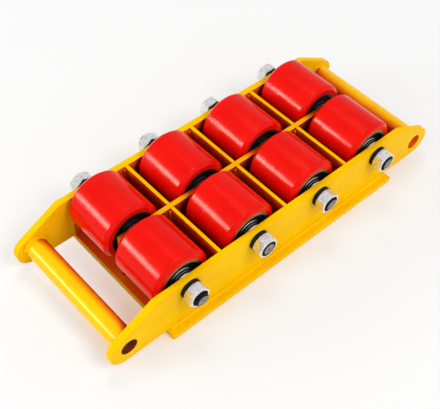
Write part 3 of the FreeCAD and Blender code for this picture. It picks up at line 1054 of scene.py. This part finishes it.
let_go()
bpy.ops.mesh.primitive_plane_add(size=FLOOR_SIZE, location=(0, 0, -FLOOR_DROP))
floor = bpy.context.active_object
floor.name = "studio_floor"
floor_finish, tree, floor_shader, place = new_finish("pale_floor")
pale = ramp(tree, noise(tree, place, scale=3), (0.2, PALE[0]), (0.8, PALE[1]))
link(tree, pale, floor_shader, "Base Color")
floor_shader.inputs["Roughness"].default_value = 0.9
floor_shader.inputs["Specular IOR Level"].default_value = 0.1
share = reckon(tree, "MULTIPLY", looked_at(tree), WHITE_SHARE)
# Painted light: where the skate shuts the floor in, its white is raised, and warmer towards the near plate.
clear_of_skate = rising(tree, openness(tree, FLOOR_LOOKS), *FLOOR_OPENS)
floor_y = put(tree, "ShaderNodeSeparateXYZ", {"Vector": place}).outputs["Y"]
from_near_plate = rising(tree, floor_y, -OPENING_HALF, OPENING_HALF)
painted_bounce = ramp(tree, from_near_plate, NEAR_PAINTED_BOUNCE, FAR_PAINTED_LIGHT)
painted_floor_light = blend_colours(tree, clear_of_skate, painted_bounce, WHITE)
white = put(tree, "ShaderNodeEmission", {"Color": painted_floor_light, "Strength": 1}).outputs[0]
mixed = put(tree, "ShaderNodeMixShader", {0: share, 1: floor_shader.outputs[0], 2: white})
link(tree, mixed.outputs[0], tree.nodes["Material Output"], "Surface")
wear_finish(floor, floor_finish)
print("floor at", floor.location.z)

# %% Hang the surround
DARK, UPPER, BAND = 0.0, 0.48, 1.7
SURROUND = ((0.14, DARK), (0.22, BAND), (0.43, BAND), (0.48, UPPER), (0.72, UPPER), (0.80, DARK))
BACKDROP = (0.74, 0.74, 0.74, 1)
world = bpy.data.worlds.new("studio_surround")
bpy.context.scene.world = world
world.use_nodes = True
sky = world.node_tree
direction = sky.nodes.new("ShaderNodeTexCoord").outputs["Generated"]
height = put(sky, "ShaderNodeSeparateXYZ", {"Vector": direction}).outputs["Z"]
shade = ramp(sky, height, *((place, (bright,) * 3) for place, bright in SURROUND))
backdrop = blend_colours(sky, looked_at(sky), shade, BACKDROP)
link(sky, backdrop, sky.nodes["Background"], "Color")
print("surround:", world.name, "with", len(SURROUND), "steps")

# %% Set up the lights
def softbox(name, azimuth, elevation, distance, size, watts, lights_up, in_reflections):
    """An area light that faces the skate, placed by its direction from it."""
    light = bpy.data.lights.new(name, "AREA")
    light.shape = "RECTANGLE"
    light.size, light.size_y = size
    light.energy = watts
    holder = bpy.data.objects.new(name, light)
    bpy.context.scene.collection.objects.link(holder)
    flat = math.cos(math.radians(elevation))
    toward = Vector((
        flat * math.cos(math.radians(azimuth)),
        flat * math.sin(math.radians(azimuth)),
        math.sin(math.radians(elevation)),
    ))
    holder.location = toward * distance
    holder.rotation_euler = toward.to_track_quat("Z", "Y").to_euler()
    holder.visible_diffuse = lights_up
    holder.visible_glossy = in_reflections
    return holder


softbox("low_light", azimuth=150, elevation=20, distance=1.8, size=(0.8, 0.35), watts=8.5,
        lights_up=True, in_reflections=False)
softbox("rear_light", azimuth=180, elevation=48, distance=1.8, size=(0.8, 0.5), watts=4.5,
        lights_up=True, in_reflections=False)
stripe_light = softbox(
    "stripe_light", azimuth=150, elevation=20, distance=1.8, size=(0.7, 0.34), watts=34,
    lights_up=False, in_reflections=True)
softbox("front_light", azimuth=-80, elevation=52, distance=2.6, size=(1.1, 0.8), watts=27,
        lights_up=True, in_reflections=True)
softbox("top_light", azimuth=60, elevation=70, distance=1.8, size=(0.8, 0.6), watts=7.5,
        lights_up=True, in_reflections=False)
striped = bpy.data.collections.new("striped")
for name, piece in dressed.items():
    if "tread" in name or "handle_tube" in name:
        striped.objects.link(piece)
stripe_light.light_linking.receiver_collection = striped

# %% [markdown]
# ## Camera
# The photograph was taken from above the skate's rear right corner. The place, the turn and the
# focal length below were fitted to the plate edges, the axle ends and the ear bores.

# %% Set the camera
CAMERA_PLACE = Vector((-459.61, -441.80, 758.43)) * MM
CAMERA_AZIMUTH = math.radians(-44.693)
CAMERA_ELEVATION = math.radians(49.989)
CAMERA_ROLL = math.radians(3.507)
FOCAL_PIXELS = 827.50
IMAGE_WIDTH = 440
SENSOR = 36.0
backward = Vector((
    math.sin(CAMERA_AZIMUTH) * math.cos(CAMERA_ELEVATION),
    -math.cos(CAMERA_AZIMUTH) * math.cos(CAMERA_ELEVATION),
    math.sin(CAMERA_ELEVATION),
))
level = Vector((math.cos(CAMERA_AZIMUTH), math.sin(CAMERA_AZIMUTH), 0))
upward = backward.cross(level)
across = level * math.cos(CAMERA_ROLL) + upward * math.sin(CAMERA_ROLL)
upright_edge = upward * math.cos(CAMERA_ROLL) - level * math.sin(CAMERA_ROLL)
view = Matrix((across, upright_edge, backward)).transposed().to_4x4()
camera_data = bpy.data.cameras.new("camera")
camera_data.sensor_fit = "HORIZONTAL"
camera_data.sensor_width = SENSOR
camera_data.lens = SENSOR * FOCAL_PIXELS / IMAGE_WIDTH
camera = bpy.data.objects.new("camera", camera_data)
camera.matrix_world = Matrix.Translation(CAMERA_PLACE) @ view
bpy.context.scene.collection.objects.link(camera)
bpy.context.scene.camera = camera
bpy.context.scene.view_settings.view_transform = "Standard"
print("lens", round(camera_data.lens, 2), "mm")
